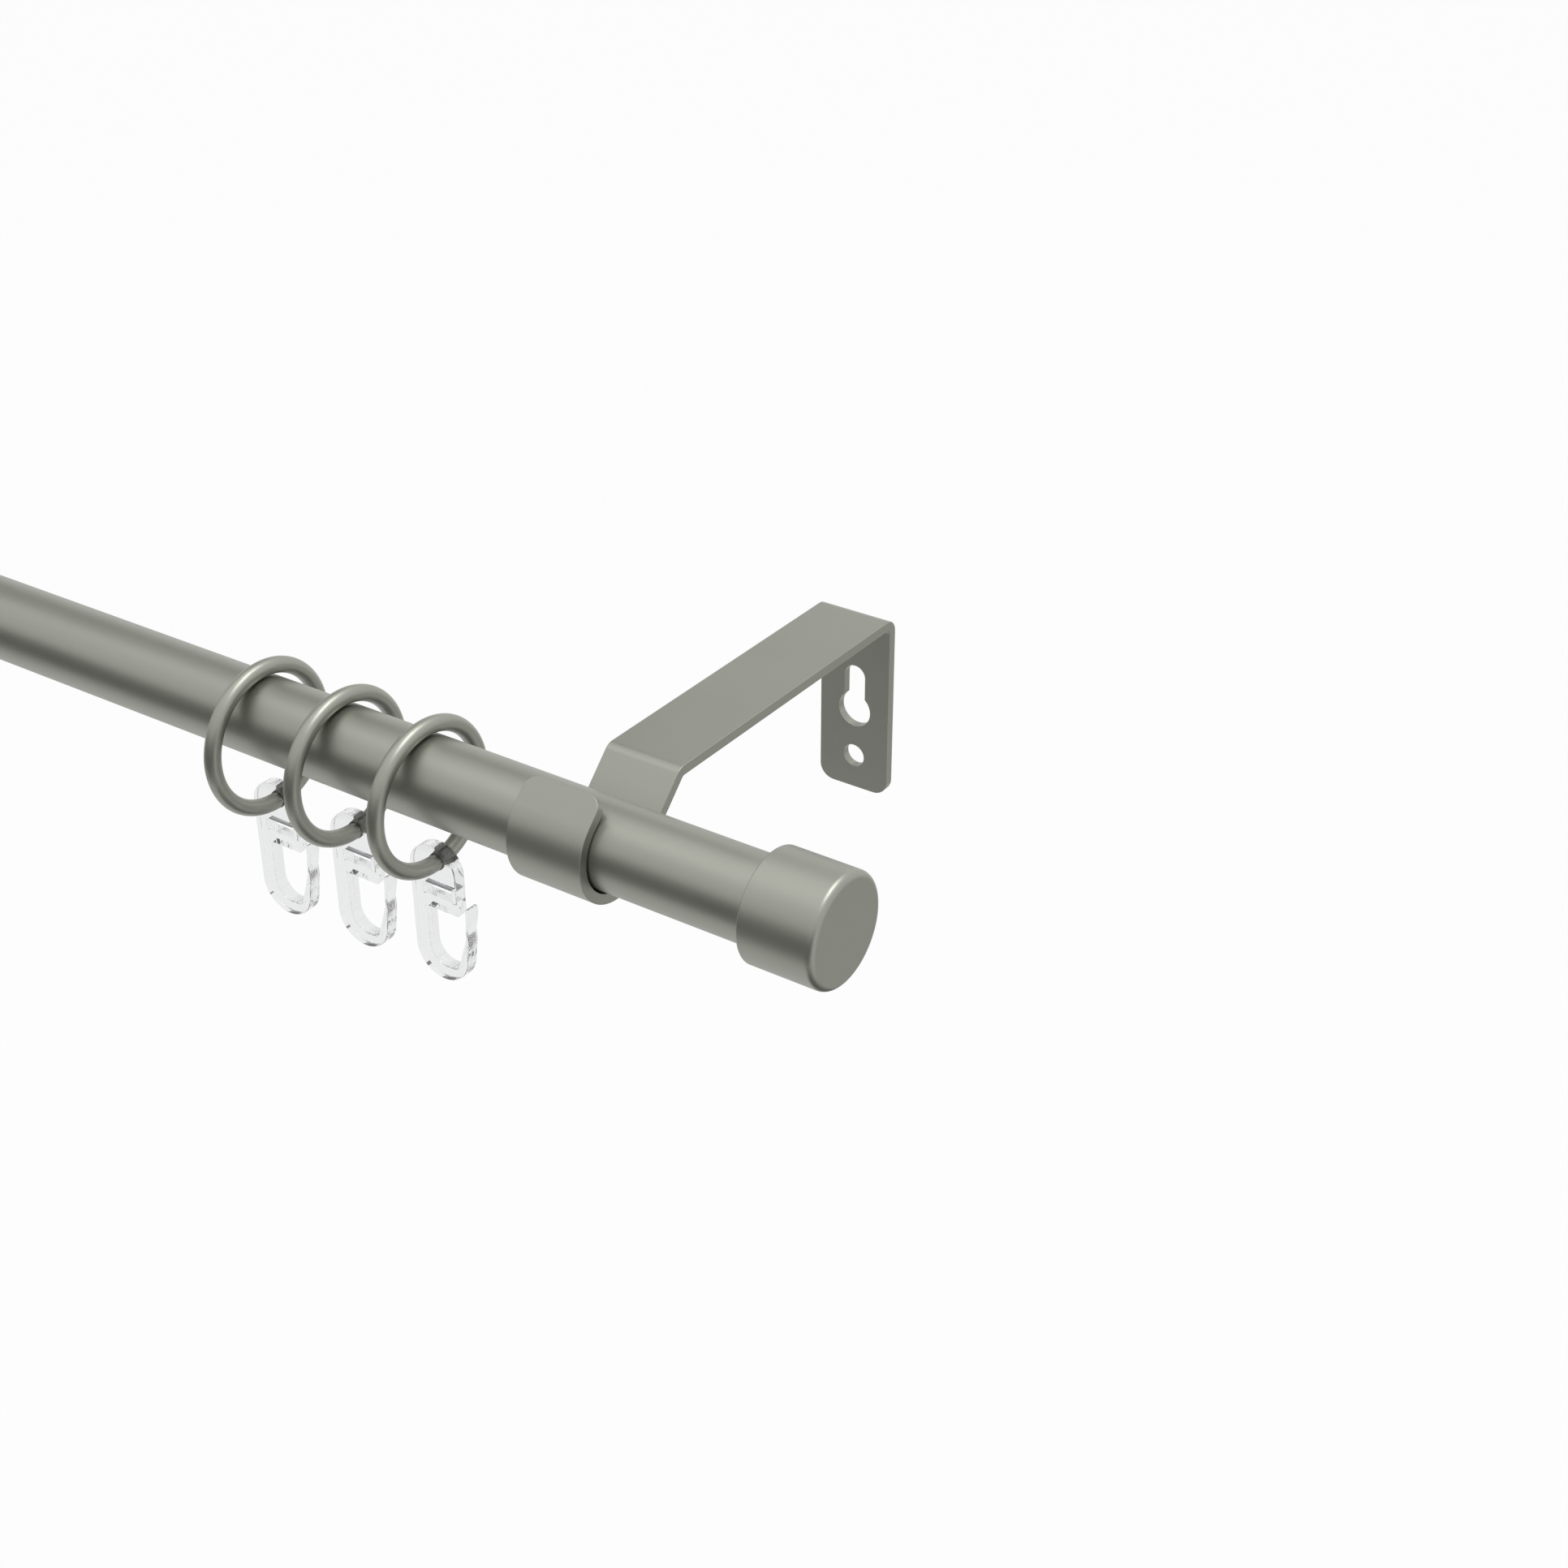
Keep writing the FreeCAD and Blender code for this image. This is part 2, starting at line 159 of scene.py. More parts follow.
def satinMetal(name, drawnAxis, drawnShare, paintedShade=1.0):
    # Satin lacquered nickel: soft clouds, a fine even grain and faint lines along drawnAxis, 0 for X and
    # 1 for Y. drawnShare is how much of the relief is lines and not grain; the last argument scales the
    # colour down as painted shade.
    look = satinLook
    light, dark = (rgb(*(part * paintedShade for part in look[tone][:3])) for tone in ("light", "dark"))
    paint = newPaint(name)
    place = paint.add("TexCoord", None, None, "Object")
    cloud = paint.noise(place, look["cloud"], 3.0)
    grain = paint.noise(place, look["grain"])
    stretch = [1.0, 1.0, 1.0]
    stretch[drawnAxis] = 1 / look["drawnLength"]
    drawnPlace = paint.add("Mapping", None, {"Vector": place, "Scale": stretch})
    drawn = paint.noise(drawnPlace, look["drawn"])
    tone = cloud * look["cloudTone"] + grain * look["grainTone"] + drawn * look["drawnTone"]
    swing = look["roughnessSwing"]
    roughness = look["roughness"] + (cloud - 0.5) * swing + (grain - 0.5) * swing
    height = grain * (1 - drawnShare) + drawn * drawnShare
    return paint.finish(paint.add("BsdfPrincipled", None, {
        "Base Color": paint.mixColour(tone, dark, light),
        "Metallic": look["metallic"],
        "Roughness": roughness,
        "Normal": paint.relief(look["bump"], height)}))


clearLook = {
    "colour": rgb(0.82, 0.825, 0.83),
    "roughness": 0.03,
    "roughnessSwing": 0.02,
    "ior": 1.49,
    "ripple": 8 * mm,
    "rippleBump": 0.003 * mm,
}


def clearPlastic(name):
    # Clear moulded plastic with the slight ripple that moulding leaves.
    look = clearLook
    paint = newPaint(name)
    place = paint.add("TexCoord", None, None, "Object")
    ripple = paint.noise(place, look["ripple"], 1.0)
    return paint.finish(paint.add("BsdfPrincipled", None, {
        "Base Color": look["colour"],
        "Roughness": look["roughness"] + (ripple - 0.5) * look["roughnessSwing"],
        "IOR": look["ior"],
        "Transmission Weight": 1.0,
        "Normal": paint.relief(look["rippleBump"], ripple)}))


finishes = {
    "rod": satinMetal("satinRod", 0, 0.6),
    "cap": satinMetal("satinCap", 0, 0.1),
    "strip": satinMetal("satinStrip", 1, 0.35),
    "ring": satinMetal("satinRing", 1, 0.2),
    "clear": clearPlastic("clearHook"),
    "bore": satinMetal("wireInHookPaintedShade", 1, 0.2, 0.5),  # the wire's own satin colour at half brightness: painted shade of the wire where the plastic grips it
}
print("finishes mixed:", len(finishes))


# Shapes

meshing = {
    "turnSteps": 128,  # sides of a turned piece
    "weld": 0.0005 * mm,  # points nearer than this become one
    "flatTurn": 0.5,  # degrees up to which the strip's faces count as one flat
    "sharpTurn": 40,  # degrees from which an edge is sharp
    "edgeSteps": 3,  # faces across a rounded edge
}


def arc(centre, radius, start, stop, step=6):
    # Points on an arc in a plane, from one angle to another in degrees.
    count = max(2, math.ceil(abs(stop - start) / step))
    angles = [math.radians(start + (stop - start) * row / count) for row in range(count + 1)]
    return [(centre[0] + radius * math.cos(a), centre[1] + radius * math.sin(a)) for a in angles]


def newObject(name, data):
    thing = bpy.data.objects.new(name, data)
    bpy.context.scene.collection.objects.link(thing)
    return thing


def newPiece(name, shape, finish):
    piece = newObject(name, shape)
    shape.materials.clear()
    shape.materials.append(finishes[finish])
    return piece


def shapedMesh(piece):
    # The piece's mesh with its modifiers, or a curve's depth and rounding, worked in.
    bpy.context.view_layer.update()
    shaped = piece.evaluated_get(bpy.context.evaluated_depsgraph_get())
    return bpy.data.meshes.new_from_object(shaped)


def applyModifiers(piece):
    mesh = shapedMesh(piece)
    old = piece.data
    piece.modifiers.clear()
    piece.data = mesh
    mesh.name = piece.name
    if old.users == 0:
        bpy.data.meshes.remove(old)


def settle(piece):
    # Applies the piece's modifiers and shades it smooth up to its sharp edges.
    applyModifiers(piece)
    for face in piece.data.polygons:
        face.use_smooth = True
    piece.data.set_sharp_from_angle(angle=math.radians(meshing["sharpTurn"]))
    return piece


def smoothFlats(piece):
    # Keeps the flats flat where they run into a small rounded edge.
    piece.modifiers.new("flats", "WEIGHTED_NORMAL").keep_sharp = True
    applyModifiers(piece)


def weld(body):
    bmesh.ops.remove_doubles(body, verts=body.verts, dist=meshing["weld"])


def joinFlats(body, turn):
    angle = math.radians(turn)
    bmesh.ops.dissolve_limit(body, angle_limit=angle, verts=body.verts, edges=body.edges)


def bridge(body, here, there):
    # Faces between two closed rows of points.
    for spot in range(len(here)):
        following = (spot + 1) % len(here)
        body.faces.new((here[spot], here[following], there[following], there[spot]))


def meshFrom(name, build, flatTurn=0):
    body = bmesh.new()
    build(body)
    weld(body)
    bmesh.ops.recalc_face_normals(body, faces=body.faces)
    if flatTurn:
        joinFlats(body, flatTurn)
    mesh = bpy.data.meshes.new(name)
    body.to_mesh(mesh)
    body.free()
    return mesh


def turned(name, outline):
    # Turns a closed outline of (x, radius) points round the rod's axis.
    steps = meshing["turnSteps"]

    def build(body):
        rows = []
        for row in range(steps):
            angle = 2 * math.pi * row / steps
            rows.append([body.verts.new((x, radius * math.cos(angle), radius * math.sin(angle)))
                         for x, radius in outline])
        count = len(outline)
        for row in range(steps):
            here, there = rows[row], rows[(row + 1) % steps]
            for spot in range(count):
                following = (spot + 1) % count
                if outline[spot][1] or outline[following][1]:
                    corners = [here[spot], here[following], there[following], there[spot]]
                    if not outline[spot][1]:
                        corners.pop(0)
                    elif not outline[following][1]:
                        corners.pop(1)
                    body.faces.new(corners)
    return meshFrom(name, build)


# Rod

tube = {
    "radius": 10 * mm,
    "wall": 1 * mm,
    "ease": 0.2 * mm,  # slope at the outer edge of each end
    "bay": 25 * mm,  # length between rows of points
}


def makeRod():
    low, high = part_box("rod_tube")
    half = (high.x - low.x) / 2
    inner = tube["radius"] - tube["wall"]
    ease = tube["ease"]
    bays = round(2 * half / tube["bay"])
    along = [-half + ease + (2 * half - 2 * ease) * row / bays for row in range(bays + 1)]
    outline = [(x, tube["radius"]) for x in along]
    outline += [(half, tube["radius"] - ease), (half, inner)]
    outline += [(-half, inner), (-half, tube["radius"] - ease)]
    mesh = turned("rodTube", outline)
    mesh.transform(Matrix.Translation(rodAxis))
    piece = settle(newPiece("rodTube", mesh, "rod"))
    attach(piece, "fixed_rod")
    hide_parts("rod_tube")


makeRod()
print("rod turned")


# End caps

cap = {
    "radius": 13.1 * mm,
    "length": 18.5 * mm,
    "bore": 16 * mm,
    "clear": 0.1 * mm,  # play round the tube
    "round": 1.75 * mm,
    "ease": 0.4 * mm,  # rounding of the open edge
    "faceRows": (0.6, 0.3),  # rows of points on the flat end, as shares of the radius
}


def makeCap(side):
    radius, length, ease = cap["radius"], cap["length"], cap["ease"]
    inside = tube["radius"] + cap["clear"]
    outline = [(0, inside + ease)]
    outline += arc((ease, radius - ease), ease, 180, 90, step=22.5)
    outline += arc((length - cap["round"], radius - cap["round"]), cap["round"], 90, 0, step=7.5)
    outline += [(length, radius * share) for share in cap["faceRows"]]
    outline += [(length, 0), (cap["bore"], 0), (cap["bore"], inside), (ease, inside)]
    name = "endCap" + side.capitalize()
    mesh = turned(name, outline)
    sign = ends[side]
    if sign < 0:
        mesh.transform(Matrix.Rotation(math.pi, 4, "Z"))
    node = f"end_cap_{side}"
    low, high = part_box(node)
    mouth = low.x if sign > 0 else high.x
    mesh.transform(Matrix.Translation((mouth, rodAxis.y, rodAxis.z)))
    piece = settle(newPiece(name, mesh, "cap"))
    smoothFlats(piece)
    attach(piece, "fixed_rod")
    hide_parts(node)


for end in ends:
    makeCap(end)
print("end caps turned")


# Wall brackets

bracket = {
    "width": 20 * mm,
    "strip": 2.5 * mm,
    "wallReach": 112.5 * mm,
    "plateHeight": 50 * mm,
    "armRise": 8.4 * mm,  # rod's axis to the arm's upper side
    "rearBend": 1.2 * mm,  # inner radius of the fold at the wall
    "frontBend": 1.2 * mm,
    "cupInside": 10.4 * mm,  # inner radius of the cup under the rod
    "cupDrop": 0.15 * mm,  # how far the cup's middle is below the rod's axis
    "lipLength": 7.1 * mm,  # straight end of the strip in front of the rod
    "lipRound": 3.4 * mm,
    "plateRound": 4 * mm,
    "holeUp": 9 * mm,  # plate's lower end to the middle of the round hole
    "holeRadius": 3.05 * mm,
    "keyUp": 22.3 * mm,  # plate's lower end to the middle of the keyhole's wide part
    "keyRadius": 4.65 * mm,
    "slotLength": 9.4 * mm,
    "slotRadius": 3 * mm,
    "edge": 0.15 * mm,  # rounding of every edge of the strip
}


def stripPath():
    # Pairs of points down the strip, on its upper and its lower side, as (along Y, up) about the rod's axis.
    b = bracket
    t, slant = b["strip"], math.sqrt(0.5)
    low = b["armRise"] - b["plateHeight"]
    rear = (b["wallReach"] - b["rearBend"] - t, b["armRise"] - b["rearBend"] - t)
    fold = b["frontBend"] + t
    frontUp = b["armRise"] - fold
    front = (math.sqrt(2) * (b["cupInside"] + fold) + frontUp + b["cupDrop"], frontUp)
    cup = (0, -b["cupDrop"])
    upper = [(b["wallReach"], low)] + arc(rear, b["rearBend"] + t, 0, 90)
    lower = [(b["wallReach"] - t, low)] + arc(rear, b["rearBend"], 0, 90)
    upper += arc(front, fold, 90, 135)
    lower += arc(front, b["frontBend"], 90, 135)
    upper += arc(cup, b["cupInside"], -45, -225, step=4)
    lower += arc(cup, b["cupInside"] + t, -45, -225, step=4)
    for side in (upper, lower):
        y, z = side[-1]
        side.append((y + b["lipLength"] * slant, z + b["lipLength"] * slant))
    return list(zip(upper, lower))


def roundedEnd(pairs, radius, halfWidth, fromEnd):
    # Rows that narrow towards one end of the strip, as (pair, half width), the narrow one first.
    (upA, lowA), (upB, lowB) = pairs
    length = math.dist(upA, upB)
    rows = []
    for degrees in range(0, 91, 10):
        angle = math.radians(degrees)
        share = radius * (1 - math.cos(angle)) / length
        pair = tuple(tuple(a + (b - a) * share for a, b in zip(first, second))
                     for first, second in ((upA, upB), (lowA, lowB)))
        rows.append((pair, halfWidth - radius + radius * math.sin(angle)))
    return rows if fromEnd else rows[::-1]


def bracketMesh(name):
    half = bracket["width"] / 2
    path = stripPath()
    rows = roundedEnd((path[0], path[1]), bracket["plateRound"], half, True)
    rows += [(pair, half) for pair in path[1:-1]]
    rows += roundedEnd((path[-1], path[-2]), bracket["lipRound"], half, False)

    def build(body):
        rings = []
        for (up, low), wide in rows:
            rings.append([body.verts.new((x, spot[0], spot[1]))
                          for x, spot in ((-wide, up), (wide, up), (wide, low), (-wide, low))])
        body.faces.new(rings[0])
        body.faces.new(rings[-1])
        for here, there in zip(rings, rings[1:]):
            bridge(body, here, there)
    return meshFrom(name, build, meshing["flatTurn"])


def cutterFrom(name, outline, depth, slope=0):
    # A prism along Y over an outline of (x, z) points, which may rise by slope on its way to the back.
    def build(body):
        near = [body.verts.new((x, depth[0], z)) for x, z in outline]
        far = [body.verts.new((x, depth[1], z + slope)) for x, z in outline]
        body.faces.new(near)
        body.faces.new(far[::-1])
        for spot in range(len(outline)):
            following = (spot + 1) % len(outline)
            body.faces.new((near[spot], far[spot], far[following], near[following]))
    return newObject(name, meshFrom(name, build))


def cutAway(piece, cutters):
    for cutter in cutters:
        boolean = piece.modifiers.new("cut", "BOOLEAN")
        boolean.object = cutter
        boolean.operation = "DIFFERENCE"
        boolean.solver = "EXACT"
    settle(piece)
    for cutter in cutters:
        mesh = cutter.data
        bpy.data.objects.remove(cutter)
        bpy.data.meshes.remove(mesh)


def makeBracket(side):
    b = bracket
    name = "bracket" + side.capitalize()
    piece = newPiece(name, bracketMesh(name), "strip")
    low = b["armRise"] - b["plateHeight"]
    depth = (b["wallReach"] - 2 * b["strip"], b["wallReach"] + b["strip"])
    wide = low + b["keyUp"]
    openHalf = math.degrees(math.asin(b["slotRadius"] / b["keyRadius"]))
    keyhole = arc((0, wide), b["keyRadius"], 90 + openHalf, 450 - openHalf)
    keyhole += arc((0, wide + b["slotLength"]), b["slotRadius"], 0, 180)
    hole = arc((0, low + b["holeUp"]), b["holeRadius"], 0, 360)[:-1]
    cutAway(piece, [cutterFrom("keyholeCutter", keyhole, depth), cutterFrom("holeCutter", hole, depth)])
    edge = piece.modifiers.new("edge", "BEVEL")
    edge.width = b["edge"]
    edge.segments = meshing["edgeSteps"]
    edge.limit_method = "ANGLE"
    edge.angle_limit = math.radians(meshing["sharpTurn"])
    edge.use_clamp_overlap = False
    settle(piece)
    smoothFlats(piece)
    node = f"bracket_{side}"
    piece.data.transform(Matrix.Translation((middle(node).x, rodAxis.y, rodAxis.z)))
    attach(piece, "fixed_rod")
    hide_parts(node)


for end in ends:
    makeBracket(end)
print("brackets folded")


# Rings

ring = {
    "radius": 17.6 * mm,
    "wire": 2 * mm,
    "around": 180,  # steps round the ring and round its wire
    "across": 36,
}
hung = [(end, order) for end in ends for order in range(1, ringsPerEnd + 1)]


def torusMesh(name, wire, around, across):
    # A ring of round wire about X.
    def build(body):
        rows = []
        for row in range(around):
            turn = 2 * math.pi * row / around
            circle = []
            for spot in range(across):
                angle = 2 * math.pi * spot / across
                x = wire * math.sin(angle)
                radius = ring["radius"] + wire * math.cos(angle)
                circle.append(body.verts.new((x, radius * math.cos(turn), radius * math.sin(turn))))
            rows.append(circle)
        for here, there in zip(rows, rows[1:] + rows[:1]):
            bridge(body, here, there)
    return meshFrom(name, build)


def makeRing(side, order):
    node = f"ring_{side}_{order}"
    name = f"ring{side.capitalize()}{order}"
    mesh = torusMesh(name, ring["wire"], ring["around"], ring["across"])
    mesh.transform(Matrix.Translation(middle(node)))
    piece = settle(newPiece(name, mesh, "ring"))
    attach(piece, node)
    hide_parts(node)


for end, order in hung:
    makeRing(end, order)
print("rings bent")


# Clear clip hooks, drawn from the front about the ring's centre

hook = {
    "thick": 3.4 * mm,
    "front": 0.6 * mm,  # ring's middle to the hook's front face
    "wireClear": 0.15 * mm,
    "mouth": 0.5 * mm,  # width of the slit that lets the wire in
    "left": 8.4 * mm,  # reach of the head to the left and to the right of the wire
    "right": 5.3 * mm,
    "headRise": 3.7 * mm,  # wire to the top of the head, and to its lower side
    "headDrop": 13.5 * mm,
    "windowLeft": 4.6 * mm,
    "windowWall": 1.3 * mm,
    "windowHigh": 3.2 * mm,
    "windowRound": 0.4 * mm,
    "barHigh": 3.5 * mm,
    "barInset": 0.4 * mm,
    "barDraft": 0.4 * mm,  # rise of the bar's underside towards the back
    "limbWide": 4.55 * mm,  # width of the left limb, from the head down to the loop
    "loopDrop": 32.75 * mm,  # wire to the lowest point of the loop
    "loopThick": 4.1 * mm,
    "loopInset": 1.6 * mm,
    "innerLeft": 5 * mm,  # inner corners of the loop
    "innerRight": 1.2 * mm,
    "innerSlant": 18,  # degrees by which the loop's right side leans, inside and outside
    "outerSlant": 8,
    "fingerGap": 2.3 * mm,  # opening between the head and the finger
    "fingerWide": 1.3 * mm,
    "fingerRise": 3.25 * mm,  # head's lower side to the finger's top
    "barbDrop": 2 * mm,  # this and the drops below are taken from the middle of the finger's round tip
    "neckDrop": 6.1 * mm,
    "neckSlim": 0.95 * mm,  # how much the finger is set back at the neck, outside and inside
    "neckLean": 0.3 * mm,
    "heelDrop": 8.1 * mm,
    "heelLean": 0.45 * mm,
    "swellDrop": 9.8 * mm,
    "swellRound": 13 * mm,
    "edge": 0.3 * mm,  # rounding of every edge
    "flatTurn": 0.2,  # degrees up to which faces count as one flat
    "beyond": 2 * mm,  # how far the cutters stand out of the moulding
    "past": 0.03 * mm,  # how far a cut goes past an edge that it meets
    "boreAround": 400,  # steps of the bore round the ring and round its wire
    "boreAcross": 60,
    "boreNear": 0.01 * mm,  # play by which a face is told to be the bore's
}


def swelling(start, finish, radius):
    # An arc that bulges to the right on its way down from start to finish.
    halfway = (Vector(start) + Vector(finish)) / 2
    half = (Vector(finish) - Vector(start)) / 2
    across = Vector((half.y, -half.x)).normalized()
    centre = halfway + across * math.sqrt(radius ** 2 - half.length_squared)
    angles = [math.degrees(math.atan2(z - centre.y, x - centre.x)) for x, z in (start, finish)]
    return arc(centre, radius, angles[0], angles[1], step=3)


def hookOutline():
    h = hook
    wire = -ring["radius"]
    headRadius = (h["left"] + h["right"]) / 2
    headX, headZ = headRadius - h["left"], wire + h["headRise"] - headRadius
    headLow = wire - h["headDrop"]
    limb = h["limbWide"] - h["left"]
    finger = h["right"] + h["fingerGap"]
    barb = finger + h["fingerWide"]
    tip = headLow + h["fingerRise"] - h["fingerWide"] / 2
    outer, inner = math.radians(h["outerSlant"]), math.radians(h["innerSlant"])
    loop = (h["left"] + barb - h["loopInset"]) / 2
    loopX, loopZ = loop - h["left"], wire - h["loopDrop"] + loop
    footX, footZ = loopX + loop * math.cos(outer), loopZ - loop * math.sin(outer)
    neck = (barb - h["neckSlim"], tip - h["neckDrop"])
    swell = (footX + (tip - h["swellDrop"] - footZ) * math.tan(outer), tip - h["swellDrop"])
    innerLow = wire - h["loopDrop"] + h["loopThick"]
    cornerZ = innerLow + h["innerRight"]
    heelX, heelZ = finger - h["heelLean"], tip - h["heelDrop"]
    cornerX = heelX - (heelZ - cornerZ) * math.tan(inner) - h["innerRight"] / math.cos(inner)
    points = arc((headX, headZ), headRadius, 180, 0)
    points += [(h["right"], headLow), (limb, headLow)]
    points += arc((limb + h["innerLeft"], innerLow + h["innerLeft"]), h["innerLeft"], 180, 270)
    points += arc((cornerX, cornerZ), h["innerRight"], 270, 360 - h["innerSlant"], step=12)
    points += [(heelX, heelZ), (finger - h["neckLean"], neck[1])]
    points += arc((finger + h["fingerWide"] / 2, tip), h["fingerWide"] / 2, 180, 0, step=15)
    points += [(barb, tip - h["barbDrop"])]
    points += swelling(neck, swell, h["swellRound"])
    points += arc((loopX, loopZ), loop, -h["outerSlant"], -180)
    return points


def windowOutline():
    h = hook
    low = -ring["radius"] - h["headDrop"] + h["barHigh"]
    r = h["windowRound"]
    left, right = r - h["windowLeft"], h["right"] - h["windowWall"] - r
    bottom, top = low + r, low + h["windowHigh"] - r
    points = []
    for row, corner in enumerate(((right, top), (left, top), (left, bottom), (right, bottom))):
        points += arc(corner, r, 90 * row, 90 * row + 90, step=22.5)
    return points


def hookBlank():
    # The moulding before it is cut: a filled flat curve with depth and rounded edges, stood upright.
    h = hook
    curve = bpy.data.curves.new("hookShape", "CURVE")
    curve.dimensions = "2D"
    curve.fill_mode = "BOTH"
    for outline in (hookOutline(), windowOutline()):
        spline = curve.splines.new("POLY")
        spline.points.add(len(outline) - 1)
        for point, (x, z) in zip(spline.points, outline):
            point.co = (x, z, 0, 1)
        spline.use_cyclic_u = True
    curve.bevel_depth = h["edge"]
    curve.bevel_resolution = meshing["edgeSteps"]
    curve.offset = -h["edge"]
    curve.extrude = h["thick"] / 2 - h["edge"]
    flat = newPiece("hookFlat", curve, "clear")
    piece = newPiece("hookShape", shapedMesh(flat), "clear")
    bpy.data.objects.remove(flat)
    upright = Matrix.Rotation(math.pi / 2, 4, "X")
    piece.data.transform(Matrix.Translation((0, h["front"] + h["thick"] / 2, 0)) @ upright)
    body = bmesh.new()
    body.from_mesh(piece.data)
    weld(body)
    joinFlats(body, h["flatTurn"])
    body.to_mesh(piece.data)
    body.free()
    return piece


def hookCutters():
    # For the bar's step, the slit, the wire's bore and the slope under the bar.
    h = hook
    wire = -ring["radius"]
    low = wire - h["headDrop"]
    lower, right = low - h["beyond"], h["right"] + h["beyond"]
    before, behind = h["front"] - h["beyond"], h["front"] + h["thick"] + h["beyond"]
    barLeft, barLow, barTop = -h["windowLeft"] - h["past"], low + h["past"], low + h["barHigh"] + h["past"]
    limb = h["limbWide"] - h["left"] + h["past"]
    bar = [(barLeft, barLow), (limb, barLow), (limb, lower),
           (right, lower), (right, barTop), (barLeft, barTop)]
    half = h["mouth"] / 2
    mouth = [(0, wire - half), (right, wire - half), (right, wire + half), (0, wire + half)]
    draft = [(limb, lower), (right, lower), (right, low), (limb, low)]
    rise = h["barDraft"] * (1 + h["beyond"] / h["thick"])
    bore = torusMesh("boreCutter", ring["wire"] + h["wireClear"], h["boreAround"], h["boreAcross"])
    return [cutterFrom("barCutter", bar, (before, h["front"] + h["barInset"])),
            cutterFrom("mouthCutter", mouth, (before, behind)),
            newObject("boreCutter", bore),
            cutterFrom("draftCutter", draft, (h["front"], behind), rise)]


def paintBoreShade(mesh):
    # Gives the faces that grip the wire the wire's finish, darkened with painted shade.
    mesh.materials.append(finishes["bore"])
    reach = ring["wire"] + hook["wireClear"] + hook["boreNear"]
    for face in mesh.polygons:
        corners = [mesh.vertices[spot].co for spot in face.vertices]
        if all(math.hypot(x, math.hypot(y, z) - ring["radius"]) < reach for x, y, z in corners):
            face.material_index = 1


def hookMesh():
    piece = hookBlank()
    cutAway(piece, hookCutters())
    smoothFlats(piece)
    mesh = piece.data.copy()
    bpy.data.objects.remove(piece)
    paintBoreShade(mesh)
    return mesh


def makeHook(side, order, shape):
    node = f"hook_{side}_{order}"
    name = f"hook{side.capitalize()}{order}"
    mesh = shape.copy()
    mesh.name = name
    mesh.transform(Matrix.Translation(middle(f"ring_{side}_{order}")))
    piece = newObject(name, mesh)
    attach(piece, node)
    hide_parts(node)


hookShape = hookMesh()
for end, order in hung:
    makeHook(end, order, hookShape)
print("hooks moulded")


# Studio

studio = {
    "floor": -0.55,
    "floorReach": 6,
    "floorColour": rgb(0.93, 0.93, 0.93),
    "floorWhite": 0.95,  # share of plain white in the floor that is seen; the rest shows the shadow
    "ambient": 0.5,
    "bounces": 32,  # for light caught in the clear hooks
    "glossyBounces": 24,
    "clearBounces": 32,
    "deepest": 4,  # turns in the plastic after which a ray misses the back cards
}

levelCards = {  # colour, one corner and the opposite one as (x, y), height, ends of the rod that have one
    "topCard": (rgb(0.58, 0.58, 0.56), (-2.4, -0.02), (-0.3, 1.6), 1.25, ["right"]),
    "sideCard": (rgb(0.88, 0.88, 0.85), (0.6, 0.2), (1.6, 1.4), -0.4, ["right", "left"]),
    "lowCard": (rgb(0.2, 0.2, 0.19), (0.43, -0.45), (0.8, 0.25), -0.45, ["right", "left"]),
}

uprightCards = {  # colour, from and to along X, upper and lower edge as (y, z), whether it is for the hooks
    "frontCard": (rgb(0.22, 0.22, 0.21), (-1.6, 1.6), (-0.85, 0.17), (-0.64, -0.44), False),
    "upperBack": (rgb(0.5, 0.51, 0.54), (-2.2, -0.3), (1.0, 1.2), (1.0, 0.95), True),
    "lowerBack": (rgb(0.18, 0.18, 0.19), (-2.2, -0.3), (1.0, 0.95), (1.0, 0), True),
}

lamps = {  # place, what it faces, size, watts
    "keyLamp": ((0.66, 0.08, 1.2), (0.45, 0, 0), (0.85, 0.35), 6.5),
    "softLamp": ((-0.25, -0.15, 1.1), (0.2, -0.1, 0.02), (1.2, 0.5), 1.2),
}


def seenWhite(paint):
    # 1 for the rays that show the background: straight, mirrored and through clear plastic.
    path = [paint.add("LightPath", None, None, name)
            for name in ("Is Camera Ray", "Is Glossy Ray", "Is Transmission Ray")]
    return path[0].orElse(path[1]).orElse(path[2])


def makeWorld():
    world = bpy.data.worlds.new("studioWorld")
    bpy.context.scene.world = world
    paint = Paint(world, "ShaderNodeOutputWorld")
    white = rgb(1, 1, 1)
    plainLight = paint.add("Background", None, {"Color": white, "Strength": studio["ambient"]})
    backdrop = paint.add("Background", None, {"Color": white, "Strength": 1.0})
    paint.finish(paint.add("MixShader", None, {0: seenWhite(paint), 1: plainLight, 2: backdrop}))


def makeSheet(name, corners, paint, shader):
    # A flat sheet of the stage.
    mesh = bpy.data.meshes.new(name)
    mesh.from_pydata(corners, [], [(0, 1, 2, 3)])
    mesh.materials.append(paint.finish(shader))
    sheet = newObject(name, mesh)
    return sheet


def levelCorners(near, far, z):
    return [(near[0], near[1], z), (far[0], near[1], z), (far[0], far[1], z), (near[0], far[1], z)]


def makeFloor():
    paint = newPaint("paleFloor")
    matt = paint.add("BsdfDiffuse", None, {"Color": studio["floorColour"]})
    white = paint.add("Emission", None, {"Color": rgb(1, 1, 1), "Strength": 1.0})
    share = seenWhite(paint) * studio["floorWhite"]
    shader = paint.add("MixShader", None, {0: share, 1: matt, 2: white})
    reach = studio["floorReach"]
    makeSheet("floor", levelCorners((-reach, -reach), (reach, reach), studio["floor"]), paint, shader)


